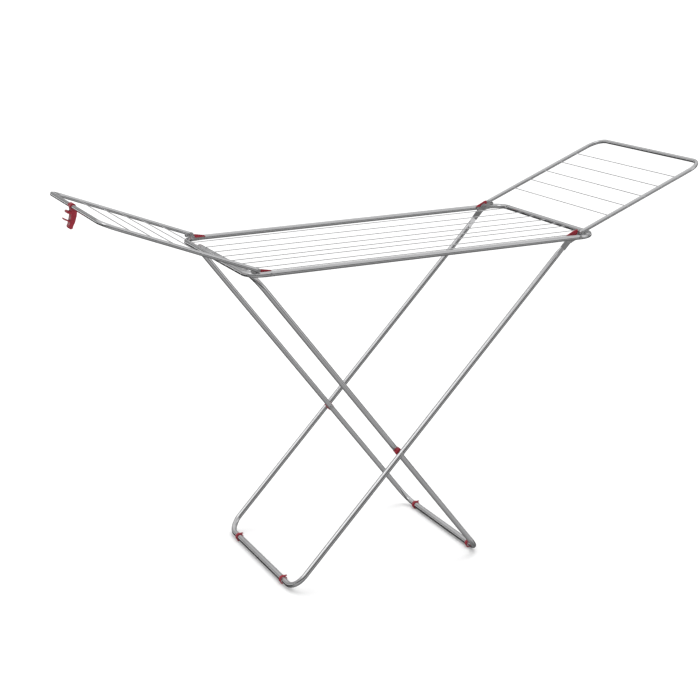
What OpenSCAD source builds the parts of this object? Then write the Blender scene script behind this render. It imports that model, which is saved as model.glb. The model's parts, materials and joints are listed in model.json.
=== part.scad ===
// Folding clothes drying rack: a flat wire rack on crossed tube legs, with two tilted wings.
// All sizes are in millimetres. The origin is on the floor, midway between the two wings.

/* [Rack] */

// Distance of the rack's left end bar from the middle, to its centre line
rack_left = 522; // [521:1:526]

// Distance of the rack's right end bar from the middle, to its centre line
rack_right = 545; // [541:1:555]

// Width of the rack between the centre lines of its rails
rack_w = 574; // [540:2:610]

// Height of the rack's centre line above the floor
rack_h = 933; // [900:1:960]

// Outer diameter of the rack tube
rail_d = 15; // [14:0.5:16]

// Wall thickness of every tube
wall = 1; // [0.8:0.1:1.2]

// Bend radius of the rack's corners, to the centre line
rack_r = 50; // [46:1:50]

// Diameter of the drying wires
wire_d = 2.6; // [2.4:0.1:3.2]

/* [Legs] */

// Outer diameter of the leg tube
leg_d = 16; // [15:0.5:16]

// Outer diameter of the foot bars
foot_d = 18.2; // [18.2:0.1:19]

// Bend radius of the leg corners, to the centre line
leg_r = 50; // [40:1:60]

// Width of the outer leg frame between its centre lines
outer_w = 540; // [538:1:541]

// Width of the inner leg frame between its centre lines
inner_w = 490; // [480:1:492]

// Distance of the outer foot bar to the left of the middle
outer_foot = 423; // [400:1:440]

// Distance of the inner foot bar to the right of the middle
inner_foot = 177; // [160:1:200]

// Length of each foot bar tube
foot_l = 380; // [360:2:390]

/* [Wings] */

// Outer diameter of the wing tube
wing_d = 12; // [11:0.5:12]

// Length of a wing from its hinge to the centre line of its end bar
wing_l = 445; // [430:1:450]

// Upward tilt of an open wing above level
wing_tilt = 21.8; // [20:0.1:23]

// Bend radius of the wing's corners, to the centre line
wing_r = 48; // [40:1:50]

// Distance from the hinge to the first wing wire
wing_first = 103; // [95:1:110]

// Spacing of the wing wires
wing_pitch = 61.5; // [58:0.5:63]

/* [Clip] */

// Position of the clip along the left wing's end bar
clip_y = 20; // [17:1:40]

// Length of the clip's paddle below the bar
clip_l = 61; // [58:1:66]

/* [Hidden] */

$fn = 48;

// Clearances
gap = 0.3;
fit = 0.05;

// Rack wires: sideways position of each one, from the far rail to the near rail
wire_y = [228, 143, 66, -6, -71, -124, -195, -244];
head_d = 4.6;
head_t = 1.2;
head_x = rail_d / 2 + fit;

// Hinge plates and red wedges on the inner side of the rails
rail_y = rack_w / 2;
hinge_t = 4.2;
hinge_y = rail_y - rail_d / 2 - gap - hinge_t;
hinge_x = 496;
hinge_z = rack_h + rail_d / 2 + wing_d / 2 + gap;
pin_d = 5;
pin_head_d = 9;
pin_head_t = 1.8;
rail_rivet_right = 490;
rail_rivet_left = 462;
ear_r = 6.8;
heel_l = 17;
heel_t = 13.2;
plate_l = 40;
band_top = 3.5;
neck_x = 10.2;
wedge_l = 44;
wedge_right = 20.5;
wedge_left = 13.6;

// Outer legs hang on the right-hand hinge plates
pivot_x = 465;
pivot_z = rack_h - 8;
rivet_d = 6;
rivet_head_d = 11;
rivet_head_t = 2.2;
plate_t = 3.2;
plate_w = 18;
plate_tip = 27;
plate_end = 32;
plate_blend = 34;
plate_y = hinge_y - gap - plate_t;
foot_z = foot_d / 2 + 2.4;
outer_run = pivot_x + outer_foot;
outer_drop = pivot_z - foot_z;
outer_l = sqrt(outer_run * outer_run + outer_drop * outer_drop);
outer_lean = atan2(outer_drop, outer_run);

// Inner legs: a closed frame whose top bar lies under the wires at the rack's left end
top_x = 495;
top_z = rack_h - wire_d / 2 - leg_d / 2 - gap - 0.2;
inner_run = top_x + inner_foot;
inner_drop = top_z - foot_z;
inner_l = sqrt(inner_run * inner_run + inner_drop * inner_drop);
inner_lean = atan2(inner_drop, inner_run);

// The crossing of the two leg frames, measured down each leg
cross_outer = (sin(inner_lean) * (pivot_x + top_x) - cos(inner_lean) * (top_z - pivot_z))
            / sin(outer_lean + inner_lean);
cross_x = pivot_x - cross_outer * cos(outer_lean);
cross_z = pivot_z - cross_outer * sin(outer_lean);
cross_inner = (top_z - cross_z) / sin(inner_lean);

// Tube joints, foot rings and crimps
spigot_l = 22;
foot_in = 12;
ring_w = 10;
ring_t = foot_z - foot_d / 2;
ring_y = foot_l / 2 - ring_w / 2 - 1;
sole_w = 13;
fin_l = 12;
spacer_up = 11;
spacer_down = 9;
spacer_wall = 0.9;
dimple_d = 4;
dimple_t = 0.6;

// Wings
wing_w = 572;
wing_plug = 9;
wing_stub = 2.5;

// Clip
clip_w = 26;
clip_wall = 2.6;

red = [0.72, 0.10, 0.16];
steel = [0.78, 0.79, 0.80];
wire_c = [0.66, 0.67, 0.69];

// ---- basic shapes ----

// Round bar along X, from x = a to x = b
module bar_x(d, a, b) {
    translate([a, 0, 0]) rotate([0, 90, 0]) cylinder(d = d, h = b - a);
}

// Round bar along Y, from y = a to y = b
module bar_y(d, a, b) {
    translate([0, b, 0]) rotate([90, 0, 0]) cylinder(d = d, h = b - a);
}

// Quarter bend in the XY plane, from angle a to a + 90 round the origin
module elbow(d, r, a) {
    rotate([0, 0, a]) rotate_extrude(angle = 90) translate([r, 0]) circle(d = d);
}

// Centre line of a C-shaped half loop: half end bar, corner, rail, corner, half end bar.
// The rail runs at y = -w/2, and the two bars end at y = y0 and y = y1.
module half_loop(d, x0, x1, w, r, y0, y1) {
    translate([x0, 0, 0]) bar_y(d, -w / 2 + r, y0);
    translate([x0 + r, -w / 2 + r, 0]) elbow(d, r, 180);
    translate([0, -w / 2, 0]) bar_x(d, x0 + r, x1 - r);
    translate([x1 - r, -w / 2 + r, 0]) elbow(d, r, 270);
    translate([x1, 0, 0]) bar_y(d, -w / 2 + r, y1);
}

// Centre line of a J-shaped half: rail, corner, half end bar
module half_u(d, x0, x1, w, r, y_end) {
    translate([0, -w / 2, 0]) bar_x(d, x0, x1 - r);
    translate([x1 - r, -w / 2 + r, 0]) elbow(d, r, 270);
    translate([x1, 0, 0]) bar_y(d, -w / 2 + r, y_end);
}

// Swaged end of a far half that slides into the near half of a tube joint
module spigot(d, x) {
    translate([x, 0, 0]) difference() {
        union() {
            bar_y(d - 2 * wall - 2 * fit, -spigot_l, 0);
            bar_y(d - wall, 0, spigot_l);
        }
        bar_y(d - 4 * wall, -spigot_l - 1, spigot_l + 1);
    }
}

// Round dent left by the crimping tool on top of a tube joint
module dimple(d, x, y) {
    translate([x, y, d / 2 - dimple_t]) cylinder(d = dimple_d, h = 3);
}

module far_side() {
    mirror([0, 1, 0]) children();
}

module left_side() {
    mirror([1, 0, 0]) children();
}

// ---- rack ----

module rack_half() {
    difference() {
        half_loop(rail_d, -rack_left, rack_right, rack_w, rack_r, 0, 0);
        half_loop(rail_d - 2 * wall, -rack_left, rack_right, rack_w, rack_r, 1, 1);
        for (x = [-rail_rivet_left, rail_rivet_right])
            translate([x, 0, 0]) bar_y(pin_d + 2 * fit, -rail_y - rail_d, -rail_y + rail_d);
        dimple(rail_d, -rack_left, -spigot_l / 2);
        dimple(rail_d, rack_right, -spigot_l / 2);
    }
}

module rack_wire_holes() {
    for (y = wire_y)
        translate([0, y, 0]) bar_x(wire_d + 2 * fit, -rack_left - rail_d, rack_right + rail_d);
}

module rack_tube_near() {
    color(steel) translate([0, 0, rack_h]) difference() {
        rack_half();
        rack_wire_holes();
    }
}

module rack_tube_far() {
    color(steel) translate([0, 0, rack_h]) difference() {
        union() {
            far_side() rack_half();
            spigot(rail_d, -rack_left);
            spigot(rail_d, rack_right);
        }
        rack_wire_holes();
    }
}

// One rack wire, through both end bars
module rack_wire(i) {
    over = head_x + head_t;
    color(wire_c) translate([0, wire_y[i], rack_h])
        bar_x(wire_d, -rack_left - over, rack_right + over);
}

// Caps pressed on the ends of the rack wires, against the end bars
module rack_wire_heads() {
    color(wire_c) difference() {
        for (y = wire_y) translate([0, y, rack_h]) {
            bar_x(head_d, rack_right + head_x, rack_right + head_x + head_t);
            bar_x(head_d, -rack_left - head_x - head_t, -rack_left - head_x);
        }
        translate([0, 0, rack_h]) rack_wire_holes();
    }
}

// ---- steel hinge plates and red wedges, on the inner side of the rails ----

// Outline of a hinge plate, x outwards along the rail and y up, from the rail's centre line
module plate_outline(with_leg) {
    ear_z = hinge_z - rack_h;
    side = ear_r - 0.4;
    difference() {
        union() {
            translate([hinge_x, ear_z]) circle(r = ear_r);
            polygon([
                [hinge_x - plate_l, -5], [hinge_x - plate_l, band_top],
                [hinge_x - neck_x, band_top], [hinge_x - neck_x, 6],
                [hinge_x - side, ear_z], [hinge_x + side, ear_z],
                [hinge_x + side, -4], [hinge_x + 2, -6.5]
            ]);
            if (with_leg) {
                translate([pivot_x, pivot_z - rack_h]) circle(r = 9);
                polygon([
                    [pivot_x - 8.6, pivot_z - rack_h], [pivot_x - 8, 0],
                    [hinge_x - 6, 0], [hinge_x - 6, -6.5], [pivot_x + 5, pivot_z - rack_h - 7]
                ]);
            }
        }
        translate([hinge_x, ear_z]) circle(d = pin_d + 2 * fit);
    }
}

// Heel under the root of an open wing
module heel_outline() {
    z0 = rail_d / 2 + gap;
    under = hinge_z - rack_h - wing_d / 2 / cos(wing_tilt) - gap;
    x0 = ear_r - 2;
    x1 = heel_l;
    polygon([
        [hinge_x + x0, z0], [hinge_x + x0, under + x0 * tan(wing_tilt)],
        [hinge_x + x1, under + x1 * tan(wing_tilt)], [hinge_x + x1, z0]
    ]);
}

// Outline of a wedge, in the nook between the plate's band and its ear
module wedge_outline(top) {
    ear_z = hinge_z - rack_h;
    low = band_top + fit;
    polygon([
        [hinge_x - wedge_l, low], [hinge_x - wedge_l + 5, rail_d / 2 + 1],
        [hinge_x - 13, top], [hinge_x - ear_r - gap, top], [hinge_x - ear_r - gap, ear_z - 1],
        [hinge_x - neck_x - gap, 6], [hinge_x - neck_x - gap, low]
    ]);
}

// Stands a flat outline up as a slab of thickness t on the inner side of the near rail
module on_rail(t) {
    translate([0, -hinge_y, rack_h]) rotate([90, 0, 0]) linear_extrude(t) children();
}

// Plate hollowed to follow the rail's bend, with its heel
module hinge_plate(with_leg, rivet_x, rack_end) {
    color(steel) difference() {
        union() {
            on_rail(hinge_t) plate_outline(with_leg);
            on_rail(heel_t) heel_outline();
        }
        translate([rack_end - rack_r, -rail_y + rack_r, rack_h])
            elbow(rail_d + 2 * gap, rack_r, 270);
        if (with_leg)
            translate([pivot_x, 0, pivot_z]) bar_y(rivet_d + 2 * fit, -rail_y, -hinge_y + 1);
        translate([rivet_x, 0, rack_h]) bar_y(pin_d + 2 * fit, -rail_y, -hinge_y + 1);
    }
}

module stop_wedge(top) {
    color(red) on_rail(hinge_t) wedge_outline(top);
}

module hinge_plate_right_near() { hinge_plate(true, rail_rivet_right, rack_right); }
module hinge_plate_right_far() { far_side() hinge_plate(true, rail_rivet_right, rack_right); }
module hinge_plate_left_near() { left_side() hinge_plate(false, rail_rivet_left, rack_left); }
module hinge_plate_left_far() { left_side() far_side() hinge_plate(false, rail_rivet_left, rack_left); }
module stop_wedge_right_near() { stop_wedge(wedge_right); }
module stop_wedge_right_far() { far_side() stop_wedge(wedge_right); }
module stop_wedge_left_near() { left_side() stop_wedge(wedge_left); }
module stop_wedge_left_far() { left_side() far_side() stop_wedge(wedge_left); }

// Rivets that fix the hinge plates: a head outside the rail, flush inside
module plate_rivet(x) {
    outer = rail_y + rail_d / 2 + fit;
    translate([x, 0, rack_h]) {
        bar_y(pin_d, -outer, -hinge_y);
        bar_y(pin_head_d, -outer - pin_head_t, -outer);
    }
}

module plate_rivets() {
    color(steel) for (k = [0, 1]) mirror([0, k, 0]) {
        plate_rivet(rail_rivet_right);
        plate_rivet(-rail_rivet_left);
    }
}

// Rivets that the outer legs turn on: a head inside the leg, flush in the hinge plate
module leg_pivot_rivets() {
    inner = plate_y - fit;
    color(steel) for (k = [0, 1]) mirror([0, k, 0]) translate([pivot_x, 0, pivot_z]) {
        bar_y(rivet_d, -hinge_y - hinge_t, -inner);
        bar_y(rivet_head_d, -inner, -inner + rivet_head_t);
    }
}

// Pins that the wings turn on: a head at each end
module wing_pins() {
    inner = hinge_y - fit;
    outer = wing_w / 2 + wing_d / 2 + gap;
    color(steel) for (k = [0, 1]) mirror([0, k, 0]) translate([hinge_x, 0, hinge_z]) {
        bar_y(pin_d, -outer, -inner);
        bar_y(pin_head_d, -inner, -inner + pin_head_t);
        bar_y(pin_head_d, -outer - pin_head_t, -outer);
    }
}

module wing_pins_right() { wing_pins(); }
module wing_pins_left() { left_side() wing_pins(); }

// ---- leg frames: each is drawn flat, x down the leg, then leaned into place ----

module outer_frame() {
    translate([pivot_x, 0, pivot_z]) rotate([0, 180 - outer_lean, 0]) children();
}

module inner_frame() {
    translate([-top_x, 0, top_z]) rotate([0, inner_lean, 0]) children();
}

// Flattened top of an outer leg, with the rivet hole
module leg_plate() {
    tip = plate_tip - plate_w / 2;
    translate([0, -plate_y, 0]) rotate([90, 0, 0]) linear_extrude(plate_t) difference() {
        union() {
            translate([-tip, 0]) circle(d = plate_w);
            translate([-tip, -plate_w / 2]) square([tip + plate_end, plate_w]);
        }
        circle(d = rivet_d + 2 * fit);
    }
}

// Taper from the flattened top to the round tube
module leg_blend() {
    a = plate_end;
    b = plate_end + plate_blend;
    intersection() {
        translate([0, -outer_w / 2, 0]) bar_x(leg_d, a, b);
        translate([0, 0, -leg_d]) linear_extrude(2 * leg_d) polygon([
            [a, -plate_y - plate_t], [a, -plate_y],
            [b, -outer_w / 2 + leg_d / 2], [b, -outer_w / 2 - leg_d / 2]
        ]);
    }
}

module crossing_hole(u) {
    translate([u, 0, 0]) bar_y(rivet_d + 2 * fit, -rack_w, 0);
}

module outer_leg() {
    a = plate_end + plate_blend;
    y1 = -foot_l / 2 + foot_in;
    leg_plate();
    leg_blend();
    difference() {
        half_u(leg_d, a, outer_l, outer_w, leg_r, y1);
        half_u(leg_d - 2 * wall, a - 1, outer_l, outer_w, leg_r, y1 + 1);
        crossing_hole(cross_outer);
    }
}

module outer_leg_near() { color(steel) outer_frame() outer_leg(); }
module outer_leg_far() { color(steel) far_side() outer_frame() outer_leg(); }

module inner_half() {
    y1 = -foot_l / 2 + foot_in;
    difference() {
        half_loop(leg_d, 0, inner_l, inner_w, leg_r, 0, y1);
        half_loop(leg_d - 2 * wall, 0, inner_l, inner_w, leg_r, 1, y1 + 1);
        crossing_hole(cross_inner);
        rotate([0, -inner_lean, 0]) dimple(leg_d, 0, -spigot_l / 2);
    }
}

module inner_leg_near() { color(steel) inner_frame() inner_half(); }

module inner_leg_far() {
    color(steel) inner_frame() {
        far_side() inner_half();
        spigot(leg_d, 0);
    }
}

// Foot bar: a slightly larger tube that the leg ends plug into
module foot_bar(x) {
    color(steel) translate([x, 0, foot_z]) difference() {
        bar_y(foot_d, -foot_l / 2, foot_l / 2);
        bar_y(leg_d + 2 * fit, -foot_l, foot_l);
        dimple(foot_d, 0, 0);
    }
}

module outer_foot_bar() { foot_bar(-outer_foot); }
module inner_foot_bar() { foot_bar(inner_foot); }

// Red foot ring with a flat sole on the floor and a small fin over the bar
module foot_ring(x, y) {
    color(red) translate([x, y, foot_z]) difference() {
        union() {
            bar_y(foot_d + 2 * ring_t, -ring_w / 2, ring_w / 2);
            translate([-sole_w / 2, -ring_w / 2, -foot_z]) cube([sole_w, ring_w, foot_z / 2]);
            translate([0, -ring_w / 4, foot_d / 2]) cube([fin_l, ring_w / 2, ring_t]);
        }
        bar_y(foot_d + 2 * fit, -ring_w, ring_w);
    }
}

module outer_foot_ring_near() { foot_ring(-outer_foot, -ring_y); }
module outer_foot_ring_far() { foot_ring(-outer_foot, ring_y); }
module inner_foot_ring_near() { foot_ring(inner_foot, -ring_y); }
module inner_foot_ring_far() { foot_ring(inner_foot, ring_y); }

// Rivets that the two leg frames turn on, fixed in the outer legs
module crossing_rivets() {
    inner = inner_w / 2 - leg_d / 2 - gap;
    outer = outer_w / 2 + leg_d / 2 + fit;
    color(steel) for (k = [0, 1]) mirror([0, k, 0]) translate([cross_x, 0, cross_z]) {
        bar_y(rivet_d, -outer, -inner);
        bar_y(rivet_head_d, -inner, -inner + rivet_head_t);
        bar_y(rivet_head_d, -outer - rivet_head_t, -outer);
    }
}

// Red saddle that holds the crossing legs apart, on the inner leg
module crossing_spacer() {
    y_in = -inner_w / 2;
    y_out = -outer_w / 2 + leg_d / 2 + gap;
    color(red) inner_frame() difference() {
        translate([cross_inner - spacer_up, y_out, -leg_d / 2 - spacer_wall])
            cube([spacer_up + spacer_down, y_in - y_out, leg_d + 2 * spacer_wall]);
        translate([0, y_in, 0]) bar_x(leg_d + 2 * fit, 0, inner_l);
        crossing_hole(cross_inner);
    }
}

module crossing_spacer_near() { crossing_spacer(); }
module crossing_spacer_far() { far_side() crossing_spacer(); }

// ---- wings: drawn flat, x outwards from the hinge, then tilted ----

module wing_frame() {
    translate([hinge_x, 0, hinge_z]) rotate([0, -wing_tilt, 0]) children();
}

module wing_wire_holes() {
    for (i = [0 : 4])
        translate([wing_first + i * wing_pitch, 0, 0]) bar_y(wire_d + 2 * fit, -rack_w, rack_w);
}

module wing_half() {
    difference() {
        union() {
            half_u(wing_d, 0, wing_l, wing_w, wing_r, 0);
            translate([0, -wing_w / 2, 0]) sphere(d = wing_d);
        }
        half_u(wing_d - 2 * wall, wing_plug, wing_l, wing_w, wing_r, 1);
        bar_y(pin_d + 2 * fit, -rack_w, 0);
        dimple(wing_d, wing_l, -spigot_l / 2);
    }
}

module wing_near() {
    color(steel) wing_frame() difference() {
        wing_half();
        wing_wire_holes();
    }
}

module wing_far() {
    color(steel) wing_frame() difference() {
        union() {
            far_side() wing_half();
            spigot(wing_d, wing_l);
        }
        wing_wire_holes();
    }
}

// One wing wire, through both rails, with a short stub outside
module wing_wire(i) {
    end = wing_w / 2 + wing_d / 2 + wing_stub;
    color(wire_c) wing_frame()
        translate([wing_first + i * wing_pitch, 0, 0]) bar_y(wire_d, -end, end);
}

module wing_right_tube_near() { wing_near(); }
module wing_right_tube_far() { wing_far(); }
module wing_right_wire_1() { wing_wire(0); }
module wing_right_wire_2() { wing_wire(1); }
module wing_right_wire_3() { wing_wire(2); }
module wing_right_wire_4() { wing_wire(3); }
module wing_right_wire_5() { wing_wire(4); }
module wing_left_tube_near() { left_side() wing_near(); }
module wing_left_tube_far() { left_side() wing_far(); }
module wing_left_wire_1() { left_side() wing_wire(0); }
module wing_left_wire_2() { left_side() wing_wire(1); }
module wing_left_wire_3() { left_side() wing_wire(2); }
module wing_left_wire_4() { left_side() wing_wire(3); }
module wing_left_wire_5() { left_side() wing_wire(4); }

module rack_wire_1() { rack_wire(0); }
module rack_wire_2() { rack_wire(1); }
module rack_wire_3() { rack_wire(2); }
module rack_wire_4() { rack_wire(3); }
module rack_wire_5() { rack_wire(4); }
module rack_wire_6() { rack_wire(5); }
module rack_wire_7() { rack_wire(6); }
module rack_wire_8() { rack_wire(7); }

// ---- clip: hangs on the left wing's end bar and hooks the folded rack together ----

// Straight finger from point a to point b, with a round bead at its free end
module finger(a, b, t) {
    run = b - a;
    translate([a[0], a[1], 0]) rotate([0, 0, atan2(run[1], run[0])]) {
        translate([0, -t / 2, 0]) cube([norm(run), t, clip_w]);
        translate([norm(run), 0, 0]) cylinder(d = t + 0.8, h = clip_w);
    }
}

// Clip drawn flat: a hook over the bar, a leaning paddle below it, two fingers outwards
module clip_body() {
    r_in = wing_d / 2 + fit;
    tip_r = 6;
    tip = [-9.5, tip_r - clip_l];
    difference() {
        union() {
            cylinder(r = r_in + clip_wall, h = clip_w);
            linear_extrude(clip_w) polygon([
                [-4.8, -5], [7.6, -2], [11, -12], [8.5, -26], [3, -clip_l * 0.7],
                tip + [tip_r - 0.5, 0], tip - [tip_r - 0.5, 0], [-11, -clip_l * 0.7],
                [-7, -28], [-5.5, -14]
            ]);
            translate([tip[0], tip[1], 0]) rotate([0, 0, -90]) cylinder(r = tip_r, h = clip_w);
            finger([-3, -18], [-14, -14], 7);
            finger([-8, -42], [-24, -33], 3.4);
        }
        translate([0, 0, -1]) cylinder(r = r_in, h = clip_w + 2);
        translate([-20, -8, -1]) cube([14.5, 8, clip_w + 2]);
    }
}

module lock_clip() {
    color(red) translate([
        -hinge_x - wing_l * cos(wing_tilt), clip_y + clip_w / 2, hinge_z + wing_l * sin(wing_tilt)
    ]) rotate([90, 0, 0]) clip_body();
}

rack_tube_near();
rack_tube_far();
rack_wire_1();
rack_wire_2();
rack_wire_3();
rack_wire_4();
rack_wire_5();
rack_wire_6();
rack_wire_7();
rack_wire_8();
rack_wire_heads();
hinge_plate_right_near();
stop_wedge_right_near();
hinge_plate_right_far();
stop_wedge_right_far();
hinge_plate_left_near();
stop_wedge_left_near();
hinge_plate_left_far();
stop_wedge_left_far();
plate_rivets();
leg_pivot_rivets();
wing_pins_right();
wing_pins_left();
outer_leg_near();
outer_leg_far();
outer_foot_bar();
crossing_rivets();
outer_foot_ring_near();
outer_foot_ring_far();
inner_leg_near();
inner_leg_far();
inner_foot_bar();
crossing_spacer_near();
crossing_spacer_far();
inner_foot_ring_near();
inner_foot_ring_far();
wing_right_tube_near();
wing_right_tube_far();
wing_right_wire_1();
wing_right_wire_2();
wing_right_wire_3();
wing_right_wire_4();
wing_right_wire_5();
wing_left_tube_near();
wing_left_tube_far();
wing_left_wire_1();
wing_left_wire_2();
wing_left_wire_3();
wing_left_wire_4();
wing_left_wire_5();
lock_clip();
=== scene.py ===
"""Looks of the folding drying rack: bright plated tube, drawn wire and crimson plastic fittings."""

import json
import math

import bmesh
import bpy
from mathutils import Matrix, Vector

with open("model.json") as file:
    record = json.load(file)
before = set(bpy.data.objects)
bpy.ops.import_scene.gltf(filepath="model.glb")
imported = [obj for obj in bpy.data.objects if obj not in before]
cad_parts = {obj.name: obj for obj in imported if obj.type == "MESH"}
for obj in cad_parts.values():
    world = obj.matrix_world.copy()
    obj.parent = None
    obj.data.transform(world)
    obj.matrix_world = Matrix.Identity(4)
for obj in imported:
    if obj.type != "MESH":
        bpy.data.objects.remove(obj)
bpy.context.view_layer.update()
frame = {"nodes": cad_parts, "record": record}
NODES = frame["nodes"]


def add_object(name, data):
    piece = bpy.data.objects.new(name, data)
    bpy.context.scene.collection.objects.link(piece)
    return piece


# ---- camera: from the near left, looking slightly down ----

# Place and reach in metres, angles in radians, lens and sensor in millimetres
CAMERA_AT = (-1.9505, -4.2965, 1.8808)
CAMERA_TURN = -0.4037
CAMERA_DOWN = 0.2659
CAMERA_ROLL = -0.0283
CAMERA_LENS = 84.53
CAMERA_SENSOR = 36.0
CAMERA_REACH = 60.0


def make_camera():
    data = bpy.data.cameras.new("camera")
    data.lens = CAMERA_LENS
    data.sensor_width = CAMERA_SENSOR
    data.clip_end = CAMERA_REACH
    camera = add_object("camera", data)
    level = math.cos(CAMERA_DOWN)
    forward = Vector((
        -math.sin(CAMERA_TURN) * level,
        math.cos(CAMERA_TURN) * level,
        -math.sin(CAMERA_DOWN),
    ))
    right = Vector((math.cos(CAMERA_TURN), math.sin(CAMERA_TURN), 0.0))
    up = right.cross(forward)
    c, s = math.cos(CAMERA_ROLL), math.sin(CAMERA_ROLL)
    right, up = c * right + s * up, c * up - s * right
    turn = Matrix((right, up, -forward)).transposed()
    camera.matrix_world = Matrix.Translation(CAMERA_AT) @ turn.to_4x4()
    bpy.context.scene.camera = camera


# ---- materials ----

# The noise values at which a clouded surface reaches its darker and its lighter colour
CLOUD_DARK_AT = 0.3
CLOUD_LIGHT_AT = 0.7
NOISE_ROUGHNESS = 0.6


class Nodes:
    """Small helper that adds shader nodes and links them by socket name."""

    def __init__(self, name):
        self.material = bpy.data.materials.new(name)
        self.material.use_nodes = True
        self.tree = self.material.node_tree
        self.shader = self.tree.nodes["Principled BSDF"]

    def set(self, socket, value):
        self.shader.inputs[socket].default_value = value

    def add(self, kind, **values):
        """Add a node, with each value on the socket of that name or else on the node itself."""
        node = self.tree.nodes.new(kind)
        for key, value in values.items():
            if key in node.inputs:
                node.inputs[key].default_value = value
            else:
                setattr(node, key, value)
        return node

    def link(self, out, into):
        self.tree.links.new(out, into)

    def noise(self, scale, detail):
        place = self.add("ShaderNodeTexCoord").outputs["Object"]
        noise = self.add("ShaderNodeTexNoise", Scale=scale, Detail=detail, Roughness=NOISE_ROUGHNESS)
        self.link(place, noise.inputs["Vector"])
        return noise.outputs["Fac"]

    def ramp(self, value, stops):
        ramp = self.add("ShaderNodeValToRGB")
        points = ramp.color_ramp.elements
        while len(points) < len(stops):
            points.new(0.5)
        for point, (at, colour) in zip(points, stops):
            point.position = at
            point.color = (*colour, 1.0)
        self.link(value, ramp.inputs["Fac"])
        return ramp.outputs["Color"]

    def span(self, value, low, high, start=0.0, end=1.0):
        """Map the value from start..end to low..high."""
        spread = self.add("ShaderNodeMapRange")
        spread.inputs["From Min"].default_value = start
        spread.inputs["From Max"].default_value = end
        spread.inputs["To Min"].default_value = low
        spread.inputs["To Max"].default_value = high
        self.link(value, spread.inputs["Value"])
        return spread.outputs["Result"]

    def colour(self, value, dark, light):
        """Let the base colour drift between two colours with the value."""
        stops = [(CLOUD_DARK_AT, dark), (CLOUD_LIGHT_AT, light)]
        self.link(self.ramp(value, stops), self.shader.inputs["Base Color"])

    def roughness(self, value, low, high):
        """Let the roughness drift between two levels with the value."""
        self.link(self.span(value, low, high), self.shader.inputs["Roughness"])

    def bump(self, height, strength, distance):
        bump = self.add("ShaderNodeBump", Strength=strength, Distance=distance)
        self.link(height, bump.inputs["Height"])
        self.link(bump.outputs["Normal"], self.shader.inputs["Normal"])


def plated_steel():
    """Bright plated tube, with faint clouding and a fine grain."""
    m = Nodes("plated_steel")
    m.set("Metallic", 1.0)
    m.set("Anisotropic", 0.25)
    cloud = m.noise(scale=9.0, detail=5.0)
    grain = m.noise(scale=420.0, detail=3.0)
    m.colour(cloud, dark=(0.72, 0.72, 0.73), light=(0.80, 0.80, 0.81))
    m.roughness(cloud, low=0.10, high=0.20)
    m.bump(grain, strength=0.05, distance=0.0001)
    return m.material


def drawn_wire():
    """Drying wire: satin steel with a little darker clouding."""
    m = Nodes("drawn_wire")
    m.set("Metallic", 1.0)
    cloud = m.noise(scale=24.0, detail=4.0)
    grain = m.noise(scale=900.0, detail=2.0)
    m.colour(cloud, dark=(0.86, 0.86, 0.87), light=(0.94, 0.94, 0.95))
    m.roughness(cloud, low=0.38, high=0.52)
    m.bump(grain, strength=0.1, distance=0.0002)
    return m.material


def rivet_steel():
    """Rivet heads: pressed steel with tool marks."""
    m = Nodes("pressed_rivet")
    m.set("Metallic", 1.0)
    marks = m.noise(scale=300.0, detail=4.0)
    m.colour(marks, dark=(0.62, 0.62, 0.62), light=(0.74, 0.74, 0.74))
    m.roughness(marks, low=0.22, high=0.38)
    m.bump(marks, strength=0.15, distance=0.0003)
    return m.material


def crimson_plastic():
    """Moulded fittings: crimson plastic with a fine spark-eroded grain."""
    m = Nodes("crimson_plastic")
    m.set("Coat Weight", 0.15)
    m.set("Coat Roughness", 0.2)
    cloud = m.noise(scale=60.0, detail=3.0)
    grain = m.noise(scale=1400.0, detail=2.0)
    m.colour(cloud, dark=(0.25, 0.007, 0.020), light=(0.33, 0.010, 0.028))
    m.roughness(grain, low=0.32, high=0.46)
    m.bump(grain, strength=0.2, distance=0.0002)
    return m.material


def finish_cad_nodes():
    materials = {
        "tube_steel": plated_steel(),
        "wire_steel": drawn_wire(),
        "rivet_steel": rivet_steel(),
        "red_plastic": crimson_plastic(),
    }
    for part in frame["record"]["subparts"]:
        piece = NODES[part["node"]]
        piece.data.materials.clear()
        piece.data.materials.append(materials[part["material_slot"]])


# ---- studio ----

# What polished metal sees, as brightness against height (-1 straight down, 1 straight up)
FRONT_GLOW = [
    (-1.0, 0.26), (-0.6, 0.40), (-0.35, 0.44), (-0.2, 0.30), (-0.12, 0.03),
    (0.1, 0.03), (0.28, 0.38), (0.6, 0.54), (1.0, 0.66),
]
BACK_GLOW = [
    (-1.0, 0.22), (-0.6, 0.10), (-0.35, 0.03), (-0.12, 0.03), (-0.05, 0.9), (0.03, 0.9),
    (0.1, 0.14), (0.3, 0.36), (0.5, 0.58), (0.8, 0.70), (1.0, 0.72),
]
# The front fades into the back while Y goes from minus to plus this, on a sphere of radius 1
GLOW_BLEND = 0.25
# Soft boxes and a dark flag. Each has its direction, the angles in degrees where it is at full
# strength and where it ends, the brightness it adds, and the share of the glow that it keeps.
CARDS = [
    ((-0.72, -0.12, 0.68), 6.0, 18.0, 1.1, 1.0),
    ((0.82, -0.56, 0.05), 8.0, 28.0, 0.42, 1.0),
    ((0.62, -0.70, 0.34), 8.0, 26.0, 0.28, 1.0),
    ((0.42, -0.30, -0.86), 14.0, 40.0, 0.0, 0.62),
]
DOME_RADIUS = 40.0
DOME_SUBDIVISIONS = 5
FLOOR_HALF = 90.0
FLOOR_COLOUR = (0.93, 0.93, 0.93, 1.0)
SUN_STRENGTH = 0.9
SUN_SPREAD = math.radians(40.0)
SUN_DIRECTION = (-0.35, -0.25, -1.0)
WORLD_COLOUR = (1.0, 1.0, 1.0, 1.0)
WORLD_STRENGTH = 1.0


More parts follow.
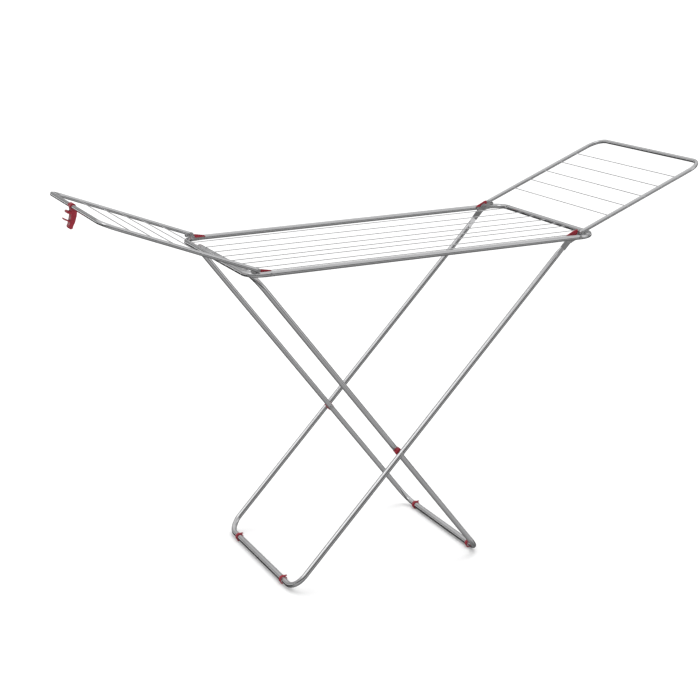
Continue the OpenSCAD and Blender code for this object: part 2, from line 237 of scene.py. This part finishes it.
def add_mesh(name, draw):
    """Add an object whose mesh is what draw puts into an empty bmesh."""
    mesh = bpy.data.meshes.new(name)
    bm = bmesh.new()
    draw(bm)
    bm.to_mesh(mesh)
    bm.free()
    return add_object(name, mesh)


def only_seen_in_metal(piece):
    piece.visible_camera = False
    piece.visible_diffuse = False
    piece.visible_transmission = False
    piece.visible_volume_scatter = False
    piece.visible_shadow = False


def glow_profile(m, height, profile):
    place = m.span(height, 0.0, 1.0, start=-1.0)
    stops = [((z + 1) / 2, (glow, glow, glow)) for z, glow in profile]
    return m.ramp(place, stops)


def add_card(m, direction, glow, card):
    centre, inner, outer, strength, keep = card
    along = m.add("ShaderNodeVectorMath", operation="DOT_PRODUCT")
    along.inputs[1].default_value = Vector(centre).normalized()
    m.link(direction, along.inputs[0])
    share = m.add("ShaderNodeMapRange", interpolation_type="SMOOTHSTEP")
    share.inputs["From Min"].default_value = math.cos(math.radians(outer))
    share.inputs["From Max"].default_value = math.cos(math.radians(inner))
    m.link(along.outputs["Value"], share.inputs["Value"])
    kept = m.span(share.outputs["Result"], 1.0, keep)
    added = m.span(share.outputs["Result"], 0.0, strength)
    dimmed = m.add("ShaderNodeVectorMath", operation="SCALE")
    m.link(glow, dimmed.inputs[0])
    m.link(kept, dimmed.inputs["Scale"])
    total = m.add("ShaderNodeVectorMath", operation="ADD")
    m.link(dimmed.outputs[0], total.inputs[0])
    m.link(added, total.inputs[1])
    return total.outputs[0]


def dome_glow(m):
    """The brightness of the studio in each direction from its middle."""
    unit = m.add("ShaderNodeVectorMath", operation="NORMALIZE")
    m.link(m.add("ShaderNodeTexCoord").outputs["Object"], unit.inputs[0])
    direction = unit.outputs[0]
    axes = m.add("ShaderNodeSeparateXYZ")
    m.link(direction, axes.inputs[0])
    mix = m.add("ShaderNodeMix", data_type="RGBA")
    m.link(m.span(axes.outputs["Y"], 0.0, 1.0, -GLOW_BLEND, GLOW_BLEND), mix.inputs["Factor"])
    m.link(glow_profile(m, axes.outputs["Z"], FRONT_GLOW), mix.inputs["A"])
    m.link(glow_profile(m, axes.outputs["Z"], BACK_GLOW), mix.inputs["B"])
    glow = mix.outputs["Result"]
    for card in CARDS:
        glow = add_card(m, direction, glow, card)
    return glow


def make_dome():
    """A studio that only reflections see, so that bright metal shows dark edges against a white room."""
    dome = add_mesh(
        "reflection_dome",
        lambda bm: bmesh.ops.create_icosphere(bm, subdivisions=DOME_SUBDIVISIONS, radius=DOME_RADIUS),
    )
    only_seen_in_metal(dome)
    m = Nodes("reflection_dome")
    m.material.cycles.emission_sampling = "NONE"
    emission = m.add("ShaderNodeEmission")
    m.link(dome_glow(m), emission.inputs["Color"])
    m.link(emission.outputs[0], m.tree.nodes["Material Output"].inputs["Surface"])
    dome.data.materials.append(m.material)


def make_floor():
    floor = add_mesh(
        "floor",
        lambda bm: bmesh.ops.create_grid(bm, x_segments=1, y_segments=1, size=FLOOR_HALF),
    )
    floor.visible_glossy = False
    m = Nodes("floor")
    m.set("Base Color", FLOOR_COLOUR)
    m.set("Roughness", 0.9)
    m.set("Specular IOR Level", 0.0)
    floor.data.materials.append(m.material)


def make_sun():
    data = bpy.data.lights.new("key", "SUN")
    data.energy = SUN_STRENGTH
    data.angle = SUN_SPREAD
    light = add_object("key", data)
    light.visible_glossy = False
    light.rotation_euler = Vector(SUN_DIRECTION).to_track_quat("-Z", "Y").to_euler()


def make_world():
    world = bpy.data.worlds.new("studio")
    world.use_nodes = True
    world.cycles_visibility.glossy = False
    bpy.context.scene.world = world
    background = world.node_tree.nodes["Background"]
    background.inputs["Color"].default_value = WORLD_COLOUR
    background.inputs["Strength"].default_value = WORLD_STRENGTH


make_camera()
finish_cad_nodes()
make_dome()
make_floor()
make_sun()
make_world()
bpy.context.scene.view_settings.view_transform = "Standard"
